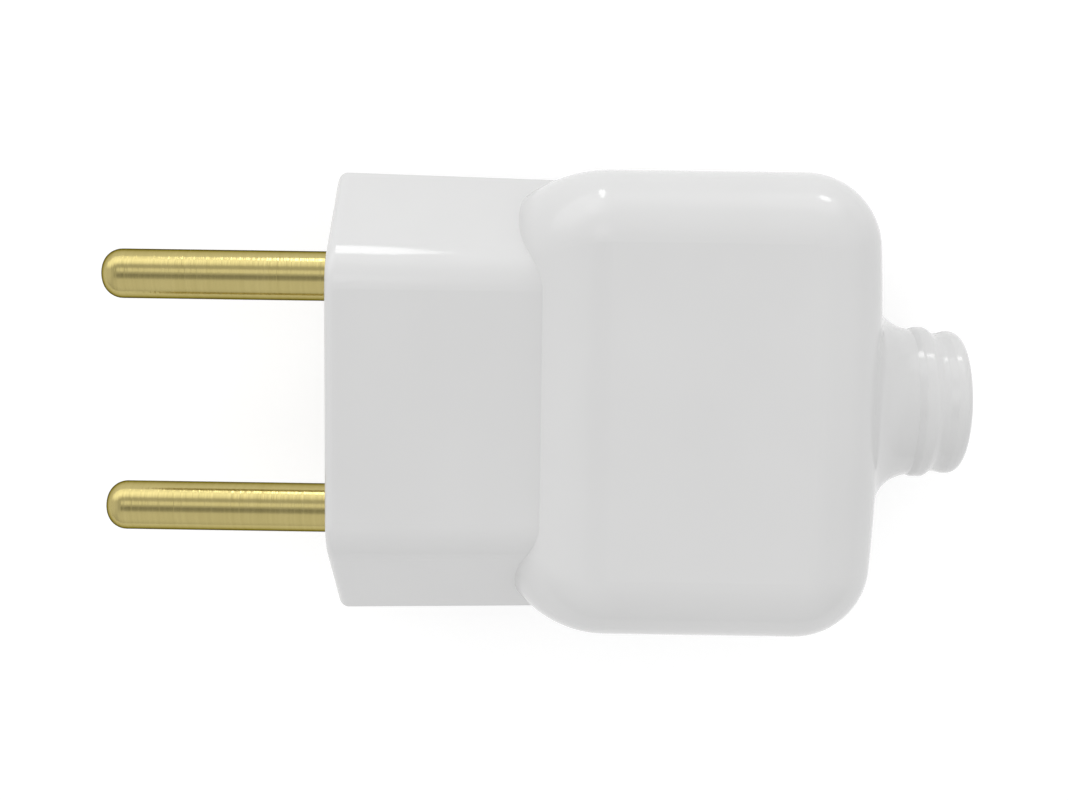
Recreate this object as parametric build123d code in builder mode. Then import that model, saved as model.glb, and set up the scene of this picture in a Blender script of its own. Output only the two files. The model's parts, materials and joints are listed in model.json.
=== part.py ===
"""Two-pin plug that opens for wiring: two shells, two contact pins, a cord clamp and their screws.

X runs along the plug, with the pins towards -X and the cord end towards +X. Y runs across the two pins.
Z is the thickness. The origin is on the engagement face, midway between the pins, and the two shells
part on the plane Z = 0. All sizes are in millimetres.
"""
from build123d import *
from math import hypot, radians, sqrt, tan
import os

# Contact pins
PIN_SPACING = 19.0
PIN_DIAMETER = 4.0
PIN_REACH = 19.0
PIN_TIP_RADIUS = 1.6
PIN_ROOT_DIAMETER = 4.6
COLLAR_DIAMETER = 7.0
COLLAR_LENGTH = 1.8
TERMINAL_DIAMETER = 6.4
TERMINAL_LENGTH = 10.0
TERMINAL_BEVEL = 0.3
WIRE_HOLE_DIAMETER = 2.8
WIRE_HOLE_DEPTH = 8.0
WIRE_HOLE_OFFSET = 0.8

# Nose: a hexagon in section, measured over its sharp corners at the engagement face
NOSE_WIDTH = 35.8
NOSE_THICKNESS = 17.2
NOSE_BEVEL_RUN = 6.9
NOSE_LENGTH = 16.4
NOSE_DRAFT = 1.0
NOSE_EDGE_RADIUS = 4.3
NOSE_RIDGE_RADIUS = 1.0
NOSE_FRONT_RADIUS = 0.8

# Grip: a rounded block whose shoulders fall away in arcs towards the nose
GRIP_SIDE_STEP = 0.3
GRIP_FACE_STEP = 1.6
GRIP_LENGTH = 21.2
GRIP_CROWN = 0.8
GRIP_EDGE_RADIUS = 5.4
GRIP_CORNER_EXTRA = 0.6
SHOULDER_RUN = 5.3
SHOULDER_SIDE_RADIUS = 8.0
SHOULDER_SINK = 0.4
SHOULDER_LIP = 0.1
SHOULDER_STATIONS = 6

# Cord boss: a ringed spout behind the grip
CORD_BORE_DIAMETER = 8.0
CORD_MOUTH_RADIUS = 0.5
BOSS_WALL = 1.85
BOSS_FLARE = 4.0
BOSS_NECK = 3.0
RING_RISE = 0.2
RING_WIDTH = 0.8
GROOVE_SINK = 0.25
GROOVE_WIDTH = 0.5
LIP_SINK = 0.1
LIP_WIDTH = 1.2
RING_SLOPE = 0.6
RING_ROUNDING = 0.6
LIP_END_RADIUS = 0.9

# Shells
WALL = 2.0
FRONT_WALL = 3.0
BULKHEAD = 1.8
BARRIER = 1.6
PARTING_GROOVE_DEPTH = 0.15
PARTING_GROOVE_HEIGHT = 0.2
SCREW_BOSS_WALL = 1.8
POST_DIAMETER = 4.4
POST_MERGE = 0.6
PEG_DIAMETER = 2.2
PEG_HEIGHT = 2.0
PEG_BEVEL = 0.3

# Cord clamp and the ribbed seat across from it
CLAMP_SETBACK = 5.2
CLAMP_WIDTH = 6.0
CLAMP_THICKNESS = 2.2
CLAMP_SCREW_SPACING = 18.0
CORD_SQUEEZE = 0.8
CORD_RIB_WIDTH = 1.0
CORD_RIB_PITCH = 2.4
CORD_RIB_COUNT = 3
CORD_RIB_DROP = 0.6

# Screws, all driven towards +Z
TERMINAL_SCREW_DIAMETER = 3.0
TERMINAL_SCREW_LENGTH = 2.4
TERMINAL_SCREW_PROUD = 0.8
TERMINAL_SCREW_SETBACK = 4.0
CLAMP_SCREW_DIAMETER = 2.9
CLAMP_SCREW_GRIP = 6.0
CLAMP_HEAD_DIAMETER = 5.4
CLAMP_HEAD_HEIGHT = 1.8
HOUSING_SCREW_DIAMETER = 3.5
HOUSING_SCREW_GRIP = 6.4
HOUSING_HEAD_DIAMETER = 6.6
HOUSING_HEAD_HEIGHT = 2.4
HOUSING_HEAD_SINK = 1.2
DRIVE_WIDTH = 0.8
DRIVE_DEPTH = 0.7
HEAD_ROUNDING = 0.4
SCREW_TIP_BEVEL = 0.4

# Clearances
FIT_CLEARANCE = 0.05
LOOSE_CLEARANCE = 0.25
SEAT_CLEARANCE = 0.1
HOLE_END_CLEARANCE = 0.5
TINY = 0.01

# Stations along X
collar_back = FRONT_WALL + COLLAR_LENGTH
bulkhead_front = collar_back + SEAT_CLEARANCE
bulkhead_back = bulkhead_front + BULKHEAD
terminal_front = bulkhead_back + SEAT_CLEARANCE
terminal_back = terminal_front + TERMINAL_LENGTH
terminal_screw_x = terminal_back - TERMINAL_SCREW_SETBACK
shoulder_x = NOSE_LENGTH + SHOULDER_RUN
grip_back = shoulder_x + GRIP_LENGTH
inner_back = grip_back - WALL
clamp_x = inner_back - CLAMP_SETBACK
clamp_front = clamp_x - CLAMP_WIDTH / 2
middle_x = (terminal_back + clamp_front) / 2
ring_foot = grip_back + BOSS_NECK
ring_front = ring_foot + RING_SLOPE
ring_back = ring_front + RING_WIDTH
groove_front = ring_back + RING_SLOPE
groove_back = groove_front + GROOVE_WIDTH
lip_front = groove_back + RING_SLOPE
boss_end = lip_front + LIP_WIDTH

# Widths and radii that follow from others
nose_flat_width = NOSE_WIDTH - 2 * NOSE_BEVEL_RUN
grip_width = NOSE_WIDTH + 2 * GRIP_SIDE_STEP
grip_thickness = NOSE_THICKNESS + 2 * GRIP_FACE_STEP
boss_radius = CORD_BORE_DIAMETER / 2 + BOSS_WALL
ring_radius = boss_radius + RING_RISE
groove_radius = boss_radius - GROOVE_SINK
lip_radius = boss_radius - LIP_SINK
cord_radius = (CORD_BORE_DIAMETER - CORD_SQUEEZE) / 2

# Places across Y and heights along Z
pin_y = PIN_SPACING / 2
post_y = grip_width / 2 - WALL - POST_DIAMETER / 2 + POST_MERGE
clamp_y = CLAMP_SCREW_SPACING / 2
pin_places = [(-pin_y, 0), (pin_y, 0)]
post_places = [(middle_x, -post_y), (middle_x, post_y)]
terminal_screw_places = [(terminal_screw_x, -pin_y), (terminal_screw_x, pin_y)]
clamp_screw_places = [(clamp_x, -clamp_y), (clamp_x, clamp_y)]
housing_screw_places = [(middle_x, 0)]
grip_floor = -grip_thickness / 2
housing_seat = grip_floor + HOUSING_HEAD_SINK + HOUSING_HEAD_HEIGHT
terminal_screw_tip = WIRE_HOLE_OFFSET - WIRE_HOLE_DIAMETER / 2 - SEAT_CLEARANCE
terminal_seat = terminal_screw_tip - TERMINAL_SCREW_LENGTH


def arc_fall(radius, run):
    """How far an arc has fallen away at a distance run before its level point."""
    return radius - sqrt(radius**2 - run**2)


def bevel_room(x, depth):
    """Half width, on the plane Z = 0, of the nose's bevels moved in by depth at the station x."""
    slant = hypot(NOSE_BEVEL_RUN, NOSE_THICKNESS / 2)
    drawn_in = depth + x * tan(radians(NOSE_DRAFT))
    return NOSE_WIDTH / 2 - drawn_in * slant / (NOSE_THICKNESS / 2)


def nose_form(start, inset):
    """Tapered hexagonal block from X = start to the shoulders, with its walls moved in by inset."""
    with BuildPart() as form:
        with BuildSketch(Plane.YZ.offset(start)) as section:
            with BuildLine():
                Polyline(
                    (NOSE_WIDTH / 2, 0),
                    (nose_flat_width / 2, NOSE_THICKNESS / 2),
                    (-nose_flat_width / 2, NOSE_THICKNESS / 2),
                    (-NOSE_WIDTH / 2, 0),
                    (-nose_flat_width / 2, -NOSE_THICKNESS / 2),
                    (nose_flat_width / 2, -NOSE_THICKNESS / 2),
                    close=True,
                )
            make_face()
            if inset > 0:
                offset(amount=-inset, kind=Kind.INTERSECTION)
            ridges = section.vertices().filter_by(lambda v: abs(v.Y) < TINY)
            fillet(section.vertices() - ridges, radius=NOSE_EDGE_RADIUS - inset)
            if NOSE_RIDGE_RADIUS > inset:
                fillet(ridges, radius=NOSE_RIDGE_RADIUS - inset)
        extrude(amount=shoulder_x - start, taper=NOSE_DRAFT)
        if NOSE_FRONT_RADIUS > inset:
            fillet(form.faces().sort_by(Axis.X)[0].edges(), radius=NOSE_FRONT_RADIUS - inset)
    return form.part


def grip_form(inset):
    """Rounded grip block with its lofted shoulders, with its walls moved in by inset."""
    half_width = grip_width / 2 - inset
    half_thickness = grip_thickness / 2 - inset
    back = grip_back - inset
    side = back - GRIP_CROWN
    edge_radius = GRIP_EDGE_RADIUS - inset
    corner_radius = edge_radius + GRIP_CORNER_EXTRA
    side_radius = SHOULDER_SIDE_RADIUS - inset
    depth = half_thickness - edge_radius - SHOULDER_LIP
    reach = sqrt(2 * side_radius * depth - depth**2)
    front_half_width = edge_radius + bevel_room(shoulder_x - reach, inset + SHOULDER_SINK + edge_radius)
    fall = half_width - front_half_width
    plan_radius = (reach**2 + fall**2) / (2 * fall)
    with BuildPart() as form:
        with BuildSketch(Plane.XY):
            with BuildLine():
                Polyline(
                    (side, half_width),
                    (shoulder_x, half_width),
                    (shoulder_x, -half_width),
                    (side, -half_width),
                )
                ThreePointArc((side, half_width), (back, 0), (side, -half_width))
            make_face()
        extrude(amount=half_thickness, both=True)
        fillet(form.edges().filter_by(Axis.Z).group_by(Axis.X)[-1], radius=corner_radius)
        faces = form.faces().sort_by(Axis.Z)
        rim = faces[0].edges() + faces[-1].edges()
        fillet(rim - form.edges().group_by(Axis.X)[0], radius=edge_radius)
        for station in range(SHOULDER_STATIONS):
            run = reach * (1 - station / (SHOULDER_STATIONS - 1))
            with BuildSketch(Plane.YZ.offset(shoulder_x - run)):
                RectangleRounded(
                    2 * (half_width - arc_fall(plan_radius, run)),
                    2 * (half_thickness - arc_fall(side_radius, run)),
                    edge_radius,
                )
        loft()
    return form.part


def closed_form(inset):
    """Nose, grip and ringed cord boss in one, as the closed housing has them, moved in by inset."""
    nose = nose_form(inset, inset)
    grip = grip_form(inset)
    with BuildPart() as form:
        add(grip)
        with BuildSketch(Plane.YZ.offset(inner_back)):
            Circle(boss_radius - inset)
        extrude(amount=ring_back - inner_back)
        boss_wall = form.faces().filter_by(GeomType.CYLINDER).sort_by(Axis.X)[-1]
        boss_root = boss_wall.edges().filter_by(lambda edge: edge.bounding_box().max.X < grip_back + TINY)
        fillet(boss_root, radius=BOSS_FLARE + inset)
        with BuildSketch(Plane.XY) as profile:
            with BuildLine():
                Polyline(
                    (ring_foot, 0),
                    (ring_foot, boss_radius - inset),
                    (ring_front, ring_radius - inset),
                    (ring_back, ring_radius - inset),
                    (groove_front, groove_radius - inset),
                    (groove_back, groove_radius - inset),
                    (lip_front, lip_radius - inset),
                    (boss_end - inset, lip_radius - inset),
                    (boss_end - inset, 0),
                    close=True,
                )
            make_face()
            corners = profile.vertices().filter_by(lambda v: v.Y > TINY and v.X > ring_foot + TINY)
            lip_corner = corners.sort_by(Axis.X)[-1]
            fillet(corners - [lip_corner], radius=RING_ROUNDING)
            fillet(profile.vertices().group_by(Axis.X)[-1].sort_by(Axis.Y)[-1], radius=LIP_END_RADIUS - inset)
        revolve(axis=Axis.X)
        add(nose)
    return form.part


def contact_pin(y):
    """Turned pin on the line Y = y: round tip, thicker root, trapped collar, terminal with its wire hole."""
    axis = Axis((0, y, 0), (1, 0, 0))
    with BuildPart() as pin:
        with BuildSketch(Plane((0, y, 0))) as profile:
            with BuildLine():
                Polyline(
                    (-PIN_REACH, 0),
                    (-PIN_REACH, PIN_DIAMETER / 2),
                    (0, PIN_DIAMETER / 2),
                    (0, PIN_ROOT_DIAMETER / 2),
                    (FRONT_WALL, PIN_ROOT_DIAMETER / 2),
                    (FRONT_WALL, COLLAR_DIAMETER / 2),
                    (collar_back, COLLAR_DIAMETER / 2),
                    (collar_back, PIN_ROOT_DIAMETER / 2),
                    (terminal_front, PIN_ROOT_DIAMETER / 2),
                    (terminal_front, TERMINAL_DIAMETER / 2),
                    (terminal_back, TERMINAL_DIAMETER / 2),
                    (terminal_back, 0),
                    close=True,
                )
            make_face()
            tip_corner = profile.vertices().group_by(Axis.X)[0].sort_by(Axis.Y)[-1]
            fillet(tip_corner, radius=PIN_TIP_RADIUS)
            end_corner = profile.vertices().group_by(Axis.X)[-1].sort_by(Axis.Y)[-1]
            chamfer(end_corner, length=TERMINAL_BEVEL)
        revolve(axis=axis)
        with BuildSketch(Plane.YZ.offset(terminal_back)):
            with Locations((y, WIRE_HOLE_OFFSET)):
                Circle(WIRE_HOLE_DIAMETER / 2)
        extrude(amount=-WIRE_HOLE_DEPTH, mode=Mode.SUBTRACT)
        with BuildSketch(Plane.XY.offset(WIRE_HOLE_OFFSET)):
            with Locations((terminal_screw_x, y)):
                Circle(TERMINAL_SCREW_DIAMETER / 2 + FIT_CLEARANCE)
        extrude(amount=-TERMINAL_DIAMETER, mode=Mode.SUBTRACT)
    return pin


def driven_screws(places, seat, tip, shank_diameter, head_diameter, head_height, slot_angles):
    """Like screws driven towards +Z: head under the seat height, shank up to the tip height."""
    with BuildPart() as screws:
        with BuildSketch(Plane.XY.offset(seat)):
            with Locations(*places):
                Circle(head_diameter / 2)
        extrude(amount=-head_height)
        fillet(screws.edges().group_by(Axis.Z)[0], radius=HEAD_ROUNDING)
        with BuildSketch(Plane.XY.offset(seat)):
            with Locations(*places):
                Circle(shank_diameter / 2)
        extrude(amount=tip - seat)
        chamfer(screws.edges().group_by(Axis.Z)[-1], length=SCREW_TIP_BEVEL)
        slot_length = head_diameter if len(slot_angles) == 1 else head_diameter / 2
        with BuildSketch(Plane.XY.offset(seat - head_height)):
            with Locations(*places):
                for angle in slot_angles:
                    Rectangle(slot_length, DRIVE_WIDTH, rotation=angle)
        extrude(amount=DRIVE_DEPTH, mode=Mode.SUBTRACT)
    return screws


envelope = closed_form(0)
groove_floor = closed_form(PARTING_GROOVE_DEPTH)
inner_nose = nose_form(FRONT_WALL, WALL)
inner_grip = grip_form(WALL)

# Groove that runs round the housing where the shells meet
with BuildPart() as parting_groove:
    with BuildSketch(Plane.XY):
        Rectangle(2 * (boss_end + WALL), grip_width + 2 * WALL)
    extrude(amount=PARTING_GROOVE_HEIGHT / 2, both=True)
    add(groove_floor, mode=Mode.SUBTRACT)

# Bore that the cord comes in by, with a rounded mouth
with BuildPart() as cord_passage:
    with BuildSketch(Plane.XY):
        with BuildLine():
            bore = CORD_BORE_DIAMETER / 2
            Polyline(
                (boss_end, bore + CORD_MOUTH_RADIUS),
                (boss_end + WALL, bore + CORD_MOUTH_RADIUS),
                (boss_end + WALL, 0),
                (inner_back - WALL, 0),
                (inner_back - WALL, bore),
                (boss_end - CORD_MOUTH_RADIUS, bore),
            )
            RadiusArc(
                (boss_end - CORD_MOUTH_RADIUS, bore),
                (boss_end, bore + CORD_MOUTH_RADIUS),
                CORD_MOUTH_RADIUS,
            )
        make_face()
    revolve(axis=Axis.X)

# Hollow that both shells share: what is cut out of it here is left standing as bulkhead, barrier and posts
with BuildPart() as chamber:
    add(inner_nose)
    add(inner_grip)
    with BuildSketch(Plane.YZ.offset(FRONT_WALL)):
        with Locations(*pin_places):
            Circle(max(COLLAR_DIAMETER, TERMINAL_DIAMETER) / 2 + LOOSE_CLEARANCE)
    extrude(amount=terminal_back + LOOSE_CLEARANCE - FRONT_WALL)
    with BuildSketch(Plane.XY):
        with Locations(*terminal_screw_places):
            Circle(TERMINAL_SCREW_DIAMETER / 2 + LOOSE_CLEARANCE)
    extrude(amount=terminal_seat - TERMINAL_SCREW_PROUD - LOOSE_CLEARANCE)
    with BuildSketch(Plane.YZ.offset(bulkhead_front)):
        Rectangle(NOSE_WIDTH, NOSE_THICKNESS)
    extrude(amount=BULKHEAD, mode=Mode.SUBTRACT)
    with BuildSketch(Plane.XY):
        with Locations(((bulkhead_front + middle_x) / 2, 0)):
            Rectangle(middle_x - bulkhead_front, BARRIER)
        with Locations(*post_places):
            Circle(POST_DIAMETER / 2)
    extrude(amount=grip_thickness, both=True, mode=Mode.SUBTRACT)

# Tunnels for the pins through the front wall and the bulkhead
with BuildPart() as pin_tunnels:
    with BuildSketch(Plane.YZ.offset(-WALL)):
        with Locations(*pin_places):
            Circle(PIN_ROOT_DIAMETER / 2 + FIT_CLEARANCE)
    extrude(amount=bulkhead_back + 2 * WALL)

# Shell on the +Z side, which carries the pins, the cord seat and the bosses that the screws bite into
with BuildPart() as base_hollow:
    add(chamber.part)
    with BuildSketch(Plane.XY):
        with Locations(*housing_screw_places):
            Circle(HOUSING_SCREW_DIAMETER / 2 + SCREW_BOSS_WALL)
        with Locations(*clamp_screw_places):
            Circle(CLAMP_SCREW_DIAMETER / 2 + SCREW_BOSS_WALL)
    extrude(amount=grip_thickness, both=True, mode=Mode.SUBTRACT)
    with BuildSketch(Plane.XY.offset(CORD_RIB_DROP)):
        with Locations((clamp_x, 0)):
            with GridLocations(CORD_RIB_PITCH, 0, CORD_RIB_COUNT, 1):
                Rectangle(CORD_RIB_WIDTH, CLAMP_SCREW_SPACING)
    extrude(amount=grip_thickness, mode=Mode.SUBTRACT)

with BuildPart() as base_shell:
    add(envelope)
    split(bisect_by=Plane.XY, keep=Keep.TOP)
    add(base_hollow.part, mode=Mode.SUBTRACT)
    add(pin_tunnels.part, mode=Mode.SUBTRACT)
    add(cord_passage.part, mode=Mode.SUBTRACT)
    add(parting_groove.part, mode=Mode.SUBTRACT)
    with BuildSketch(Plane.YZ.offset(clamp_front)):
        Circle(cord_radius)
    extrude(amount=CLAMP_WIDTH, mode=Mode.SUBTRACT)
    with BuildSketch(Plane.XY):
        with Locations(*housing_screw_places):
            Circle(HOUSING_SCREW_DIAMETER / 2 + FIT_CLEARANCE)
    extrude(amount=HOUSING_SCREW_GRIP + HOLE_END_CLEARANCE, mode=Mode.SUBTRACT)
    with BuildSketch(Plane.XY):
        with Locations(*clamp_screw_places):
            Circle(CLAMP_SCREW_DIAMETER / 2 + FIT_CLEARANCE)
    extrude(amount=CLAMP_SCREW_GRIP + HOLE_END_CLEARANCE, mode=Mode.SUBTRACT)
    with BuildSketch(Plane.XY):
        with Locations(*post_places):
            Circle(PEG_DIAMETER / 2)
    extrude(amount=-PEG_HEIGHT)
    chamfer(base_shell.edges().group_by(Axis.Z)[0], length=PEG_BEVEL)

# Shell on the -Z side, with the sunk seat of the housing screw
with BuildPart() as cover_hollow:
    add(chamber.part)
    with BuildSketch(Plane.XY):
        with Locations(*housing_screw_places):
            Circle(HOUSING_HEAD_DIAMETER / 2 + LOOSE_CLEARANCE + SCREW_BOSS_WALL)
    extrude(amount=grip_thickness, both=True, mode=Mode.SUBTRACT)

with BuildPart() as cover_shell:
    add(envelope)
    split(bisect_by=Plane.XY, keep=Keep.BOTTOM)
    add(cover_hollow.part, mode=Mode.SUBTRACT)
    add(pin_tunnels.part, mode=Mode.SUBTRACT)
    add(cord_passage.part, mode=Mode.SUBTRACT)
    add(parting_groove.part, mode=Mode.SUBTRACT)
    with Locations(Location((middle_x, 0, grip_floor), (180, 0, 0))):
        CounterBoreHole(
            radius=HOUSING_SCREW_DIAMETER / 2 + LOOSE_CLEARANCE,
            counter_bore_radius=HOUSING_HEAD_DIAMETER / 2 + LOOSE_CLEARANCE,
            counter_bore_depth=housing_seat - grip_floor,
        )
    with BuildSketch(Plane.XY):
        with Locations(*post_places):
            Circle(PEG_DIAMETER / 2 + SEAT_CLEARANCE)
    extrude(amount=-(PEG_HEIGHT + HOLE_END_CLEARANCE), mode=Mode.SUBTRACT)

pin_left = contact_pin(-pin_y)
pin_right = contact_pin(pin_y)

# Bridge that is screwed down over the cord
with BuildPart() as cord_clamp:
    with BuildSketch(Plane.YZ.offset(clamp_front)) as bridge:
        Circle(cord_radius + CLAMP_THICKNESS)
        Rectangle(CLAMP_SCREW_SPACING + CLAMP_WIDTH, CLAMP_THICKNESS, align=(Align.CENTER, Align.MAX))
        Circle(cord_radius, mode=Mode.SUBTRACT)
        Rectangle(grip_width, grip_thickness, align=(Align.CENTER, Align.MIN), mode=Mode.SUBTRACT)
    extrude(amount=CLAMP_WIDTH)
    end_edges = cord_clamp.edges().filter_by(Axis.Z)
    fillet(end_edges, radius=CLAMP_WIDTH / 2 - TINY)
    with BuildSketch(Plane.XY):
        with Locations(*clamp_screw_places):
            Circle(CLAMP_SCREW_DIAMETER / 2 + LOOSE_CLEARANCE)
    extrude(amount=-CLAMP_THICKNESS, mode=Mode.SUBTRACT)

terminal_screws = driven_screws(
    terminal_screw_places,
    terminal_seat,
    terminal_screw_tip,
    TERMINAL_SCREW_DIAMETER,
    TERMINAL_SCREW_DIAMETER,
    TERMINAL_SCREW_PROUD,
    slot_angles=[0],
)
clamp_screws = driven_screws(
    clamp_screw_places,
    -CLAMP_THICKNESS,
    CLAMP_SCREW_GRIP,
    CLAMP_SCREW_DIAMETER,
    CLAMP_HEAD_DIAMETER,
    CLAMP_HEAD_HEIGHT,
    slot_angles=[0, 90],
)
housing_screw = driven_screws(
    housing_screw_places,
    housing_seat,
    HOUSING_SCREW_GRIP,
    HOUSING_SCREW_DIAMETER,
    HOUSING_HEAD_DIAMETER,
    HOUSING_HEAD_HEIGHT,
    slot_angles=[45, 135],
)

os.makedirs("parts", exist_ok=True)
base_shell.part.label = "base_shell"
export_step(base_shell.part, "parts/base_shell.step")
cover_shell.part.label = "cover_shell"
export_step(cover_shell.part, "parts/cover_shell.step")
pin_left.part.label = "pin_left"
export_step(pin_left.part, "parts/pin_left.step")
pin_right.part.label = "pin_right"
export_step(pin_right.part, "parts/pin_right.step")
cord_clamp.part.label = "cord_clamp"
export_step(cord_clamp.part, "parts/cord_clamp.step")
terminal_screws.part.label = "terminal_screws"
export_step(terminal_screws.part, "parts/terminal_screws.step")
clamp_screws.part.label = "clamp_screws"
export_step(clamp_screws.part, "parts/clamp_screws.step")
housing_screw.part.label = "housing_screw"
export_step(housing_screw.part, "parts/housing_screw.step")
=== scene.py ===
"""Looks of the two-pin plug: studio floor and light, camera, and a procedural finish for each piece."""
import json
import math

import bpy
from mathutils import Matrix, Vector

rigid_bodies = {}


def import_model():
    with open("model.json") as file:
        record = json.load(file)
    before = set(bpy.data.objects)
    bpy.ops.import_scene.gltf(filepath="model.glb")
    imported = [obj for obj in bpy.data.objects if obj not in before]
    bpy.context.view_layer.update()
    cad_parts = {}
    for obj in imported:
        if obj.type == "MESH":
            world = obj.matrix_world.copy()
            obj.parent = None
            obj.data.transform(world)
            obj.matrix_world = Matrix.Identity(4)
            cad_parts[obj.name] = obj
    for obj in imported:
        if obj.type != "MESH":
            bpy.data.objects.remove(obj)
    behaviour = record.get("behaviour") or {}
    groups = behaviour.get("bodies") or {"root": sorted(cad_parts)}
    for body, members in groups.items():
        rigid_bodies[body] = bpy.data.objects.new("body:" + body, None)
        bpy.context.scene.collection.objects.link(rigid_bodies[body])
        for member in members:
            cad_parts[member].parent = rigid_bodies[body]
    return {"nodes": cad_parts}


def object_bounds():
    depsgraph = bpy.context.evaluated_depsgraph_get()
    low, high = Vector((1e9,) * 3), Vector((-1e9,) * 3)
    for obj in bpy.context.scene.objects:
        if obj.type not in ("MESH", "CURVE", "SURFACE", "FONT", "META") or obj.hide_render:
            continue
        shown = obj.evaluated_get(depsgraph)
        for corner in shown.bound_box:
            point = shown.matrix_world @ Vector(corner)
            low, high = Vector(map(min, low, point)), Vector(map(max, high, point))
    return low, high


MM = 0.001

# Place that the camera and the lamps face
PLUG_MIDDLE = Vector((16.1, 0, 0)) * MM

# Camera fitted to the photograph: its frame in pixels, the sensor in millimetres, other lengths in metres
IMAGE_WIDTH = 1068
FOCAL_PIXELS = 1504.3
CENTRE_SHIFT_PIXELS = (2.2, -3.96)
SENSOR_WIDTH = 36.0
CAMERA_DISTANCE = 122.5 * MM
CAMERA_NEAREST = 0.005
CAMERA_FURTHEST = 40
CAMERA_PITCH = math.radians(7.13)
CAMERA_YAW = math.radians(-0.4)
CAMERA_ROLL = math.radians(-0.8)

# Floor: half its side in metres, the share of light it scatters, and the glow that makes it look white
FLOOR_HALF_SIZE = 12.0
FLOOR_DIFFUSE = 0.5
FLOOR_GLOW = 0.63

# Room light: an even level, and patches in it. A row has a name, a direction, the angles from it in degrees
# at which the patch ends and at which it is full, and the level that it adds
ROOM_LEVEL = 0.715
ROOM_PATCHES = [
    ("dark_overhead", (-0.2, -0.16, 0.965), 15, 7, -0.35),
    ("ceiling_lamp", (-0.2, 0.32, 0.93), 13, 4, 0.6),
    ("far_window", (-0.22, 0.85, 0.47), 20, 6, 0.5),
    ("far_left_wall", (-0.6, 0.78, 0.15), 40, 10, 1.15),
    ("far_right_wall", (0.35, 0.92, 0.2), 28, 8, 0.9),
    ("near_wall", (0, -0.77, 0.64), 50, 15, 0.25),
    ("pin_side_wall", (-0.96, 0, 0.28), 45, 10, 0.25),
    ("cord_side_wall", (0.96, 0, 0.28), 45, 10, 0.3),
]

# Oval lamps that make the bright spots on the plastic: name, place, width and height, radiance
OVAL_LAMPS = [
    ("lamp_at_nose", Vector((-40, 412, 48)) * MM, (60 * MM, 130 * MM), 4.8),
    ("lamp_at_corner", Vector((185, 385, 55)) * MM, (100 * MM, 70 * MM), 4.5),
]

# Moulded plastics: darkest and lightest tone, least and most roughness, strength of the surface's relief
WHITE_PLASTIC = ((0.71, 0.71, 0.708), (0.73, 0.73, 0.728), (0.07, 0.13), 0.05)
CLAMP_PLASTIC = ((0.62, 0.61, 0.57), (0.68, 0.67, 0.63), (0.4, 0.55), 0.3)
PLASTIC_IOR = 1.5
PLASTIC_TONE_STOPS = (0.3, 0.7)
PLASTIC_CLOUDS = {"scale": 90, "detail": 3}
PLASTIC_SMEARS = {"scale": 260, "detail": 4, "roughness": 0.6}
PLASTIC_WAVES = {"scale": 160, "detail": 1}
PLASTIC_WAVE_HEIGHT = 0.12 * MM
PLASTIC_GRAIN = {"scale": 2600, "detail": 2}
PLASTIC_GRAIN_HEIGHT = 0.012 * MM

# Turned brass: tones of its streaks, tint of its edges, gloss, tarnish, and the marks that turning leaves
# The texture's scale across a pin is the stretch times that along it, which draws the marks into rings
BRASS_TONES = [(0.25, (0.475, 0.403, 0.166)), (0.5, (0.5, 0.425, 0.18)), (0.75, (0.525, 0.448, 0.195))]
BRASS_EDGE_TINT = (0.12, 0.12, 0.11)
BRASS_ROUGHNESS = (0.1, 0.2)
TARNISH_TINT = (0.86, 0.82, 0.68)
TARNISH_CLOUDS = {"scale": 420, "detail": 3}
TARNISH_MOST = 0.35
STREAK_STRETCH = 0.03
STREAKS = {"scale": 2600, "detail": 4, "roughness": 0.65}
STREAK_STRENGTH = 0.7
STREAK_HEIGHT = 0.04 * MM
RING_SCALE = 1700
RING_DISTORTION = 1.5
RING_DETAIL = 2
RING_STRENGTH = 0.05
RING_HEIGHT = 0.01 * MM

# Plated steel: tones, gloss and grain
STEEL_TONES = [(0.3, (0.5, 0.51, 0.53)), (0.7, (0.66, 0.67, 0.7))]
STEEL_ROUGHNESS = (0.22, 0.4)
STEEL_CLOUDS = {"scale": 700, "detail": 3}
STEEL_GRAIN = {"scale": 5000, "detail": 2}
STEEL_GRAIN_STRENGTH = 0.2
STEEL_GRAIN_HEIGHT = 0.01 * MM

# Sockets of the mix node when it mixes colours
MIX_FIRST = 6
MIX_SECOND = 7
MIX_RESULT = 2


def clear_scene():
    """Removes what a new file starts with."""
    for item in list(bpy.data.objects):
        bpy.data.objects.remove(item)


def new_material(name):
    """A material with nothing but its output; returns material, nodes, link function and output."""
    material = bpy.data.materials.new(name)
    material.use_nodes = True
    nodes = material.node_tree.nodes
    nodes.clear()
    output = nodes.new("ShaderNodeOutputMaterial")
    return material, nodes, material.node_tree.links.new, output


def new_finish(name, metallic):
    """A material with one shader; returns material, nodes, link function, shader and place socket."""
    material, nodes, link, output = new_material(name)
    place = nodes.new("ShaderNodeTexCoord").outputs["Object"]
    shader = nodes.new("ShaderNodeBsdfPrincipled")
    shader.inputs["Metallic"].default_value = metallic
    link(shader.outputs["BSDF"], output.inputs["Surface"])
    return material, nodes, link, shader, place


def noise_node(nodes, link, vector, scale, detail, roughness=0.5):
    """A noise texture read at the given vector socket."""
    node = nodes.new("ShaderNodeTexNoise")
    node.inputs["Scale"].default_value = scale
    node.inputs["Detail"].default_value = detail
    node.inputs["Roughness"].default_value = roughness
    link(vector, node.inputs["Vector"])
    return node


def ramp_node(nodes, link, factor, stops):
    """A colour ramp over the factor socket; stops are (position, colour)."""
    node = nodes.new("ShaderNodeValToRGB")
    elements = node.color_ramp.elements
    for element, (position, colour) in zip(elements, (stops[0], stops[-1])):
        element.position = position
        element.color = (*colour, 1)
    for position, colour in stops[1:-1]:
        elements.new(position).color = (*colour, 1)
    link(factor, node.inputs["Fac"])
    return node


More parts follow.
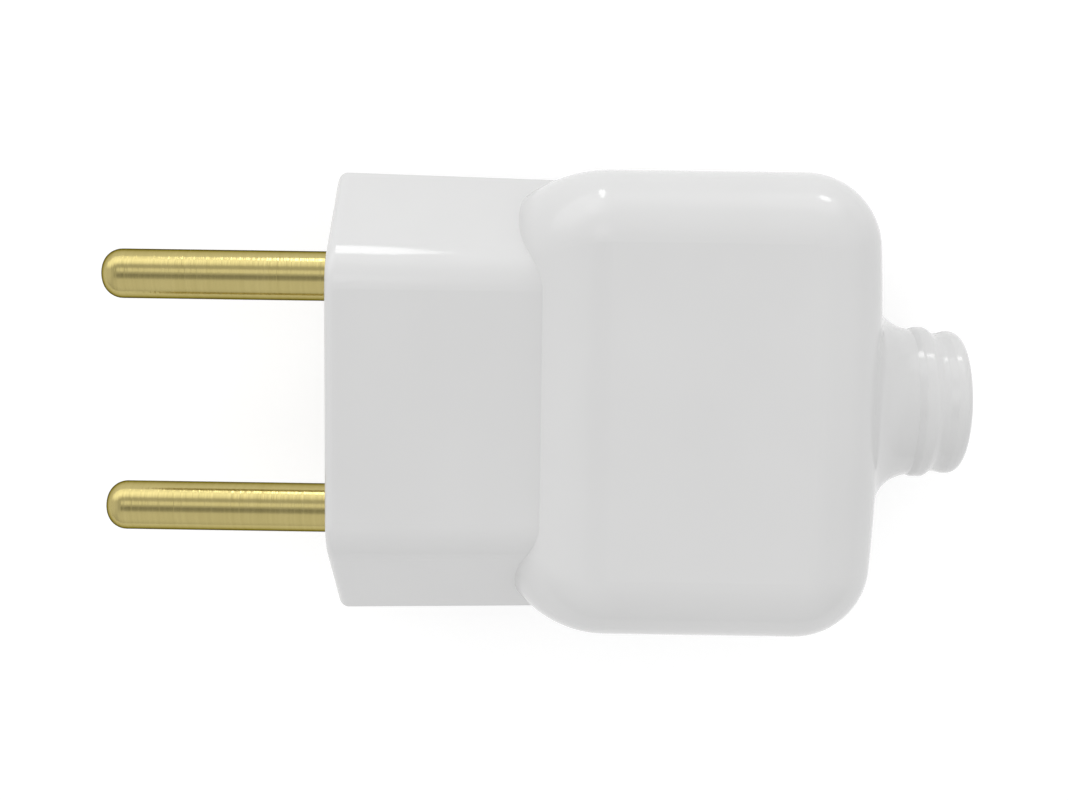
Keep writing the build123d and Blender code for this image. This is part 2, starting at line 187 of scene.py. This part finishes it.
def range_node(nodes, link, value, low, high, start=0.0, end=1.0):
    """Maps the value socket from start to end onto low to high."""
    node = nodes.new("ShaderNodeMapRange")
    node.inputs["From Min"].default_value = start
    node.inputs["From Max"].default_value = end
    node.inputs["To Min"].default_value = low
    node.inputs["To Max"].default_value = high
    link(value, node.inputs["Value"])
    return node


def bump_node(nodes, link, height, strength, distance, normal=None):
    """A bump over the height socket, on top of another normal where one is given."""
    node = nodes.new("ShaderNodeBump")
    node.inputs["Strength"].default_value = strength
    node.inputs["Distance"].default_value = distance
    link(height, node.inputs["Height"])
    if normal is not None:
        link(normal, node.inputs["Normal"])
    return node


def math_socket(nodes, link, operation, first, second):
    """The result of an operation on two values, each of them a socket or a number."""
    node = nodes.new("ShaderNodeMath")
    node.operation = operation
    for socket, value in zip(node.inputs, (first, second)):
        if isinstance(value, (int, float)):
            socket.default_value = value
        else:
            link(value, socket)
    return node.outputs["Value"]


def moulded_plastic(name, dark, light, roughness, relief):
    """Moulded plastic: cloudy tone, uneven gloss and the faint waviness of a polished mould."""
    material, nodes, link, shader, place = new_finish(name, metallic=0.0)
    shader.inputs["IOR"].default_value = PLASTIC_IOR
    clouds = noise_node(nodes, link, place, **PLASTIC_CLOUDS)
    stops = list(zip(PLASTIC_TONE_STOPS, (dark, light)))
    tone = ramp_node(nodes, link, clouds.outputs["Fac"], stops)
    link(tone.outputs["Color"], shader.inputs["Base Color"])
    smears = noise_node(nodes, link, place, **PLASTIC_SMEARS)
    gloss = range_node(nodes, link, smears.outputs["Fac"], *roughness)
    link(gloss.outputs["Result"], shader.inputs["Roughness"])
    waves = noise_node(nodes, link, place, **PLASTIC_WAVES)
    grain = noise_node(nodes, link, place, **PLASTIC_GRAIN)
    soft = bump_node(nodes, link, waves.outputs["Fac"], relief, PLASTIC_WAVE_HEIGHT)
    fine = bump_node(nodes, link, grain.outputs["Fac"], relief, PLASTIC_GRAIN_HEIGHT, soft.outputs["Normal"])
    link(fine.outputs["Normal"], shader.inputs["Normal"])
    return material


def turned_brass(name):
    """Bar-turned brass: rings left by the tool, streaks between them and a slight tarnish."""
    material, nodes, link, shader, place = new_finish(name, metallic=1.0)
    shader.inputs["Specular Tint"].default_value = (*BRASS_EDGE_TINT, 1)
    around = nodes.new("ShaderNodeMapping")
    around.inputs["Scale"].default_value = (1.0, STREAK_STRETCH, STREAK_STRETCH)
    link(place, around.inputs["Vector"])
    streaks = noise_node(nodes, link, around.outputs["Vector"], **STREAKS).outputs["Fac"]
    tone = ramp_node(nodes, link, streaks, BRASS_TONES)
    clouds = noise_node(nodes, link, place, **TARNISH_CLOUDS)
    patches = range_node(nodes, link, clouds.outputs["Fac"], 0.0, TARNISH_MOST)
    tarnish = nodes.new("ShaderNodeMix")
    tarnish.data_type = "RGBA"
    tarnish.blend_type = "MULTIPLY"
    tarnish.inputs[MIX_SECOND].default_value = (*TARNISH_TINT, 1)
    link(patches.outputs["Result"], tarnish.inputs["Factor"])
    link(tone.outputs["Color"], tarnish.inputs[MIX_FIRST])
    link(tarnish.outputs[MIX_RESULT], shader.inputs["Base Color"])
    gloss = range_node(nodes, link, streaks, *BRASS_ROUGHNESS)
    link(gloss.outputs["Result"], shader.inputs["Roughness"])
    rings = nodes.new("ShaderNodeTexWave")
    rings.wave_type = "BANDS"
    rings.bands_direction = "X"
    rings.inputs["Scale"].default_value = RING_SCALE
    rings.inputs["Distortion"].default_value = RING_DISTORTION
    rings.inputs["Detail"].default_value = RING_DETAIL
    link(around.outputs["Vector"], rings.inputs["Vector"])
    ringed = bump_node(nodes, link, rings.outputs["Fac"], RING_STRENGTH, RING_HEIGHT)
    scored = bump_node(nodes, link, streaks, STREAK_STRENGTH, STREAK_HEIGHT, ringed.outputs["Normal"])
    link(scored.outputs["Normal"], shader.inputs["Normal"])
    return material


def plated_steel(name):
    """Zinc-plated screw steel: cool grey with uneven gloss and a fine grain."""
    material, nodes, link, shader, place = new_finish(name, metallic=1.0)
    clouds = noise_node(nodes, link, place, **STEEL_CLOUDS)
    tone = ramp_node(nodes, link, clouds.outputs["Fac"], STEEL_TONES)
    link(tone.outputs["Color"], shader.inputs["Base Color"])
    gloss = range_node(nodes, link, clouds.outputs["Fac"], *STEEL_ROUGHNESS)
    link(gloss.outputs["Result"], shader.inputs["Roughness"])
    grain = noise_node(nodes, link, place, **STEEL_GRAIN)
    fine = bump_node(nodes, link, grain.outputs["Fac"], STEEL_GRAIN_STRENGTH, STEEL_GRAIN_HEIGHT)
    link(fine.outputs["Normal"], shader.inputs["Normal"])
    return material


def floor_material():
    """Pale studio floor: it looks white, in reflections too, and still takes the object's shadow."""
    material, nodes, link, output = new_material("studio_floor")
    diffuse = nodes.new("ShaderNodeBsdfDiffuse")
    diffuse.inputs["Color"].default_value = (FLOOR_DIFFUSE, FLOOR_DIFFUSE, FLOOR_DIFFUSE, 1)
    rays = nodes.new("ShaderNodeLightPath").outputs
    seen = math_socket(nodes, link, "MAXIMUM", rays["Is Camera Ray"], rays["Is Glossy Ray"])
    seen = math_socket(nodes, link, "MAXIMUM", seen, rays["Is Transmission Ray"])
    glow = nodes.new("ShaderNodeEmission")
    link(math_socket(nodes, link, "MULTIPLY", seen, FLOOR_GLOW), glow.inputs["Strength"])
    both = nodes.new("ShaderNodeAddShader")
    link(diffuse.outputs["BSDF"], both.inputs[0])
    link(glow.outputs["Emission"], both.inputs[1])
    link(both.outputs["Shader"], output.inputs["Surface"])
    return material


def add_floor(height):
    """Plain floor that the plug lies on."""
    mesh = bpy.data.meshes.new("studio_floor")
    size = FLOOR_HALF_SIZE
    corners = [(-size, -size, height), (size, -size, height), (size, size, height), (-size, size, height)]
    mesh.from_pydata(corners, [], [(0, 1, 2, 3)])
    floor = bpy.data.objects.new("studio_floor", mesh)
    bpy.context.scene.collection.objects.link(floor)
    mesh.materials.append(floor_material())


def add_oval_lamp(name, place, size, radiance):
    """Oval lamp that faces the plug's middle."""
    data = bpy.data.lights.new(name, "AREA")
    data.shape = "ELLIPSE"
    data.size, data.size_y = size
    area = math.pi / 4 * size[0] * size[1]
    data.energy = radiance * math.pi * area
    lamp = bpy.data.objects.new(name, data)
    lamp.location = place
    lamp.rotation_euler = (PLUG_MIDDLE - place).to_track_quat("-Z", "Y").to_euler()
    bpy.context.scene.collection.objects.link(lamp)


def set_world():
    """Even room light with brighter walls, a window, a ceiling lamp and a dark patch overhead."""
    world = bpy.data.worlds.new("studio_room")
    world.use_nodes = True
    nodes = world.node_tree.nodes
    link = world.node_tree.links.new
    background = nodes["Background"]
    background.inputs["Color"].default_value = (1, 1, 1, 1)
    place = nodes.new("ShaderNodeTexCoord").outputs["Generated"]
    level = ROOM_LEVEL
    for name, direction, end_angle, full_angle, added in ROOM_PATCHES:
        towards = nodes.new("ShaderNodeVectorMath")
        towards.name = name
        towards.operation = "DOT_PRODUCT"
        towards.inputs[1].default_value = Vector(direction).normalized()
        link(place, towards.inputs[0])
        start = math.cos(math.radians(end_angle))
        end = math.cos(math.radians(full_angle))
        patch = range_node(nodes, link, towards.outputs["Value"], 0.0, added, start, end)
        patch.interpolation_type = "SMOOTHSTEP"
        level = math_socket(nodes, link, "ADD", patch.outputs["Result"], level)
    link(level, background.inputs["Strength"])
    bpy.context.scene.world = world


def add_camera():
    """Close-up camera above the plug, looking down on it as the photograph does."""
    turn = (
        Matrix.Rotation(CAMERA_ROLL, 3, "Z")
        @ Matrix.Rotation(CAMERA_PITCH, 3, "X")
        @ Matrix.Rotation(CAMERA_YAW, 3, "Y")
    )
    data = bpy.data.cameras.new("photo_camera")
    data.sensor_fit = "HORIZONTAL"
    data.sensor_width = SENSOR_WIDTH
    data.lens = FOCAL_PIXELS / IMAGE_WIDTH * SENSOR_WIDTH
    data.shift_x = -CENTRE_SHIFT_PIXELS[0] / IMAGE_WIDTH
    data.shift_y = CENTRE_SHIFT_PIXELS[1] / IMAGE_WIDTH
    data.clip_start = CAMERA_NEAREST
    data.clip_end = CAMERA_FURTHEST
    camera = bpy.data.objects.new("photo_camera", data)
    axes = turn.transposed()
    camera.matrix_world = Matrix.Translation(PLUG_MIDDLE + axes.col[2] * CAMERA_DISTANCE) @ axes.to_4x4()
    bpy.context.scene.collection.objects.link(camera)
    bpy.context.scene.camera = camera


def set_finish(cad_nodes, names, material):
    """Gives the named CAD nodes their finished material."""
    for name in names:
        mesh = cad_nodes[name].data
        for index in range(len(mesh.materials)):
            mesh.materials[index] = material


clear_scene()
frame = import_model()
cad_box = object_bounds()

bpy.context.scene.view_settings.view_transform = "Standard"
add_camera()
set_world()
add_floor(cad_box[0].z)
for lamp in OVAL_LAMPS:
    add_oval_lamp(*lamp)

pieces = frame["nodes"]
set_finish(pieces, ["base_shell", "cover_shell"], moulded_plastic("white_plastic", *WHITE_PLASTIC))
set_finish(pieces, ["cord_clamp"], moulded_plastic("clamp_plastic", *CLAMP_PLASTIC))
set_finish(pieces, ["pin_left", "pin_right"], turned_brass("turned_brass"))
set_finish(pieces, ["terminal_screws", "clamp_screws", "housing_screw"], plated_steel("plated_steel"))
